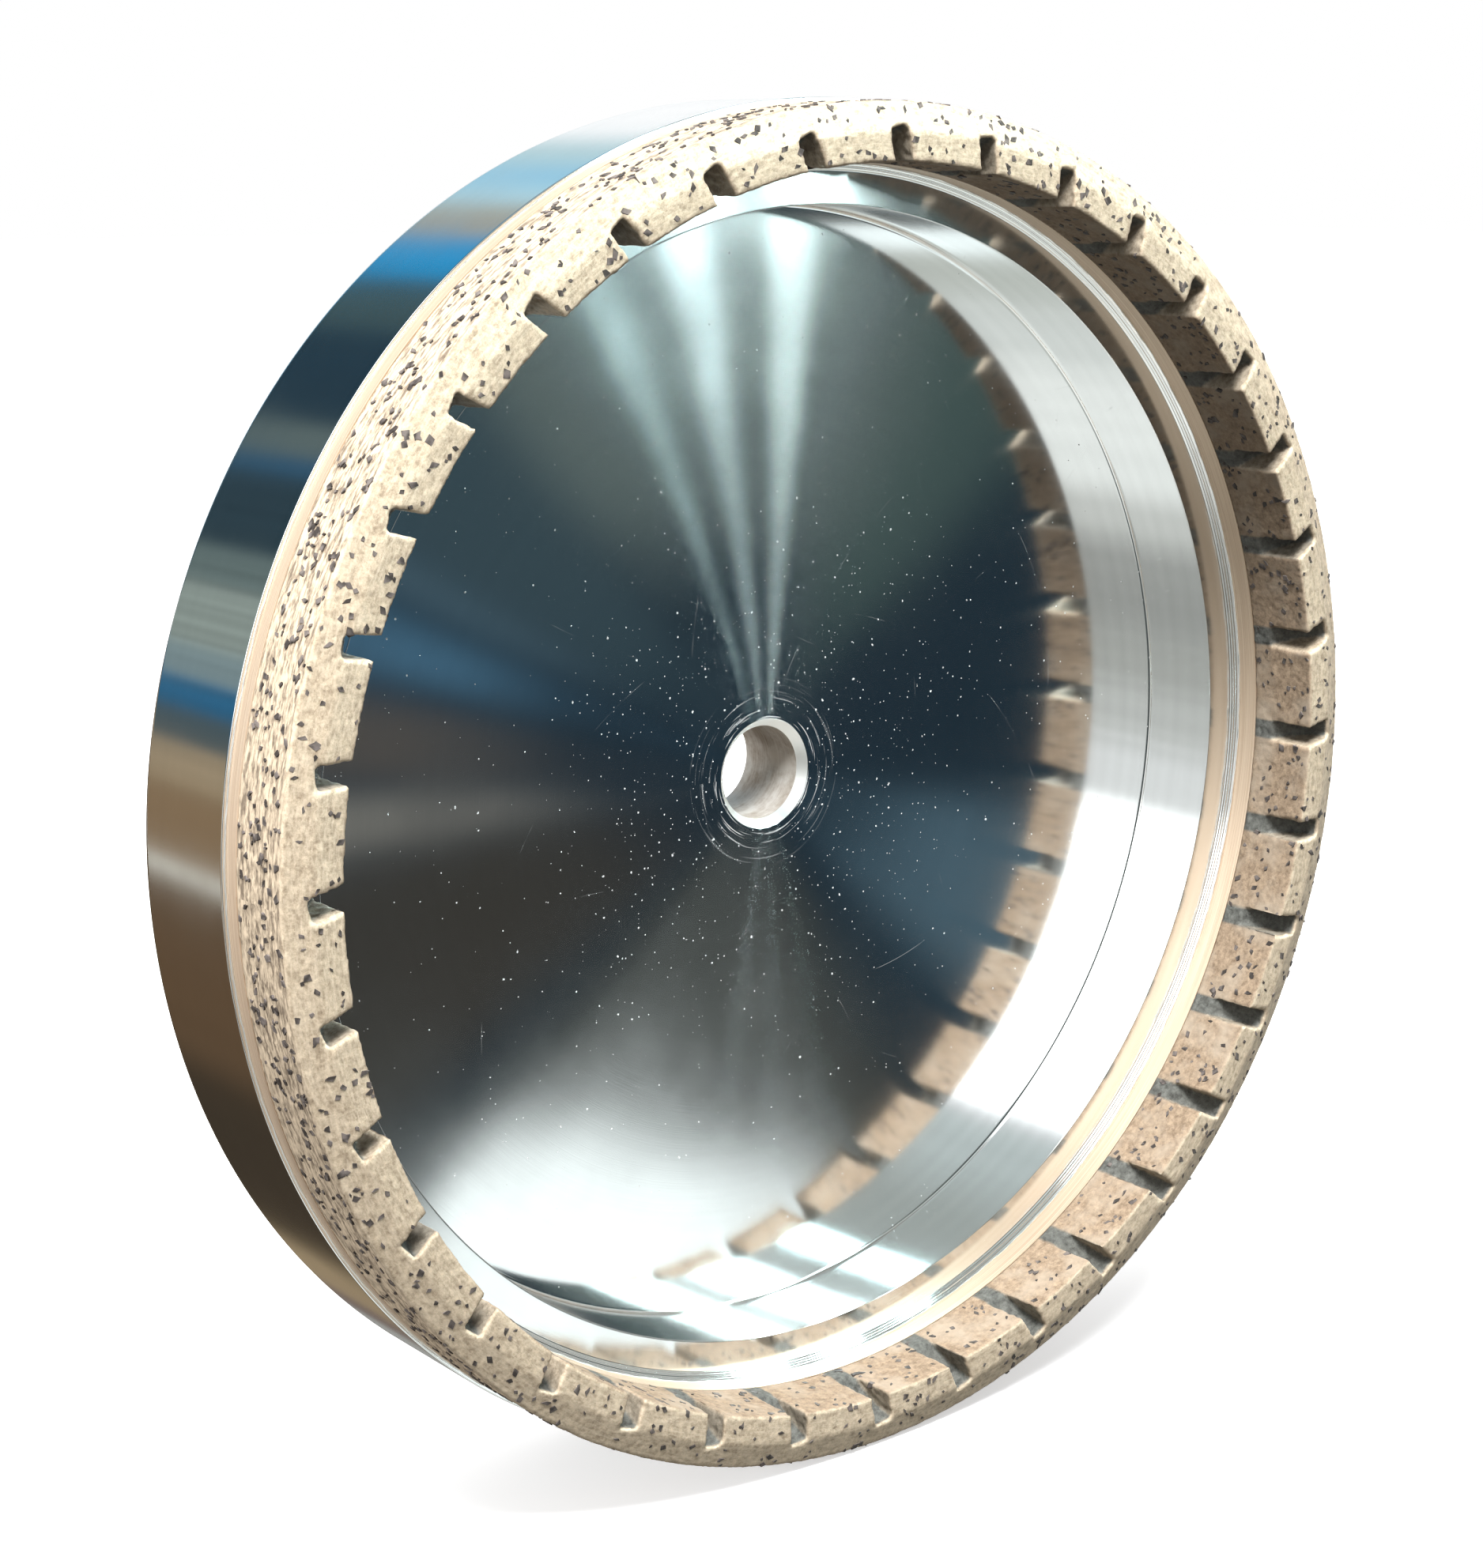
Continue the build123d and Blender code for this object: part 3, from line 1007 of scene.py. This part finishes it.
WEDGES_AHEAD = [
    ((54, 76), 0.07, 0.27, 6, (0.055, 0.09, 0.085)),      # curtain
    ((70, 124), 0.10, 0.30, 7, (0.11, 0.145, 0.14)),      # wall round the window
    ((118, 142), 0.06, 0.27, 5, (0.04, 0.07, 0.085)),
    ((143, 147), 0.08, 0.27, 1.5, (0.08, 0.14, 0.18)),    # blue cloth
    ((152, 161), 0.09, 0.27, 3, (0.065, 0.16, 0.25)),
    ((166, 178), 0.09, 0.27, 2, (0.09, 0.08, 0.07)),      # grey door
    ((182, 190), 0.08, 0.27, 2, (0.20, 0.195, 0.175)),
    ((192, 222), 0.06, 0.27, 4, (0.045, 0.042, 0.036)),   # dark shelf
    ((228, 282), 0.04, 0.27, 6, (0.05, 0.055, 0.05)),     # edge of the table
    ((229, 276), 0.168, 0.3, 1.0, (1.35, 1.45, 1.42)),    # table top
    ((236, 268), 0.152, 0.3, 4.0, (1.35, 1.45, 1.42)),
    ((302, 350), 0.05, 0.12, 10, (0.08, 0.14, 0.18)),
    ((82, 86.5), 0.24, 0.9, 0.7, (34, 42, 41)),           # window, right pane
    ((93, 97.5), 0.24, 0.9, 0.7, (23, 29, 29)),           # window, middle pane
    ((104.5, 107.5), 0.24, 0.9, 0.7, (19, 26, 26)),       # window, left pane
]


def world():
    """White to the camera, a plain dome to light the wheel, and the room in what the metal reflects first."""
    made = bpy.data.worlds.new("studio")
    bpy.context.scene.world = made
    made.use_nodes = True
    graph = Graph(made.node_tree)
    direction = graph.node("TexCoord").outputs["Generated"]
    _, _, z = graph.split(direction)
    path = graph.node("LightPath").outputs
    below, level, overhead = DOME
    dome = graph.mix(graph.range(z, -0.4, 0.15), below, level)
    dome = graph.mix(graph.range(z, 0.15, 0.9), dome, overhead)
    before_diffuse = graph.math("LESS_THAN", path["Diffuse Depth"], 0.5)
    seen_in_metal = graph.math("MULTIPLY", path["Is Glossy Ray"], before_diffuse)
    colour = graph.mix(seen_in_metal, dome, reflected_room(graph, direction))
    colour = graph.mix(path["Is Camera Ray"], colour, (1.0, 1.0, 1.0))
    background = graph.node("Background", {"Color": colour, "Strength": 1.0})
    graph.tree.links.new(background.outputs[0], graph.node("OutputWorld").inputs[0])


def lamp(name, place, size, power):
    """A square lamp that points at the bore and does not show in the metal."""
    data = bpy.data.lights.new(name, "AREA")
    data.size = size
    data.energy = power
    made = bpy.data.objects.new(name, data)
    made.location = place
    made.rotation_mode = "QUATERNION"
    made.rotation_quaternion = (-Vector(place)).to_track_quat("-Z", "Y")
    made.visible_glossy = False
    bpy.context.scene.collection.objects.link(made)


def camera():
    """Left of the wheel's axis, slightly above it, and close enough for strong perspective."""
    data = bpy.data.cameras.new("camera")
    data.lens = 65.0
    data.sensor_width = 36.0
    made = bpy.data.objects.new("camera", data)
    made.location = CAMERA_PLACE
    ahead = Vector((
        -math.sin(CAMERA_AZIMUTH) * math.cos(CAMERA_ELEVATION),
        math.cos(CAMERA_AZIMUTH) * math.cos(CAMERA_ELEVATION),
        -math.sin(CAMERA_ELEVATION),
    ))
    made.rotation_mode = "QUATERNION"
    made.rotation_quaternion = ahead.to_track_quat("-Z", "Y")
    data.clip_start = 0.01
    bpy.context.scene.collection.objects.link(made)
    bpy.context.scene.camera = made


backdrop()
world()
lamp("key", (-0.35, -0.5, 1.1), 0.5, 52)
lamp("side", (-1.1, 0.3, 0.1), 0.5, 13)
camera()
bpy.context.scene.view_settings.view_transform = "Standard"
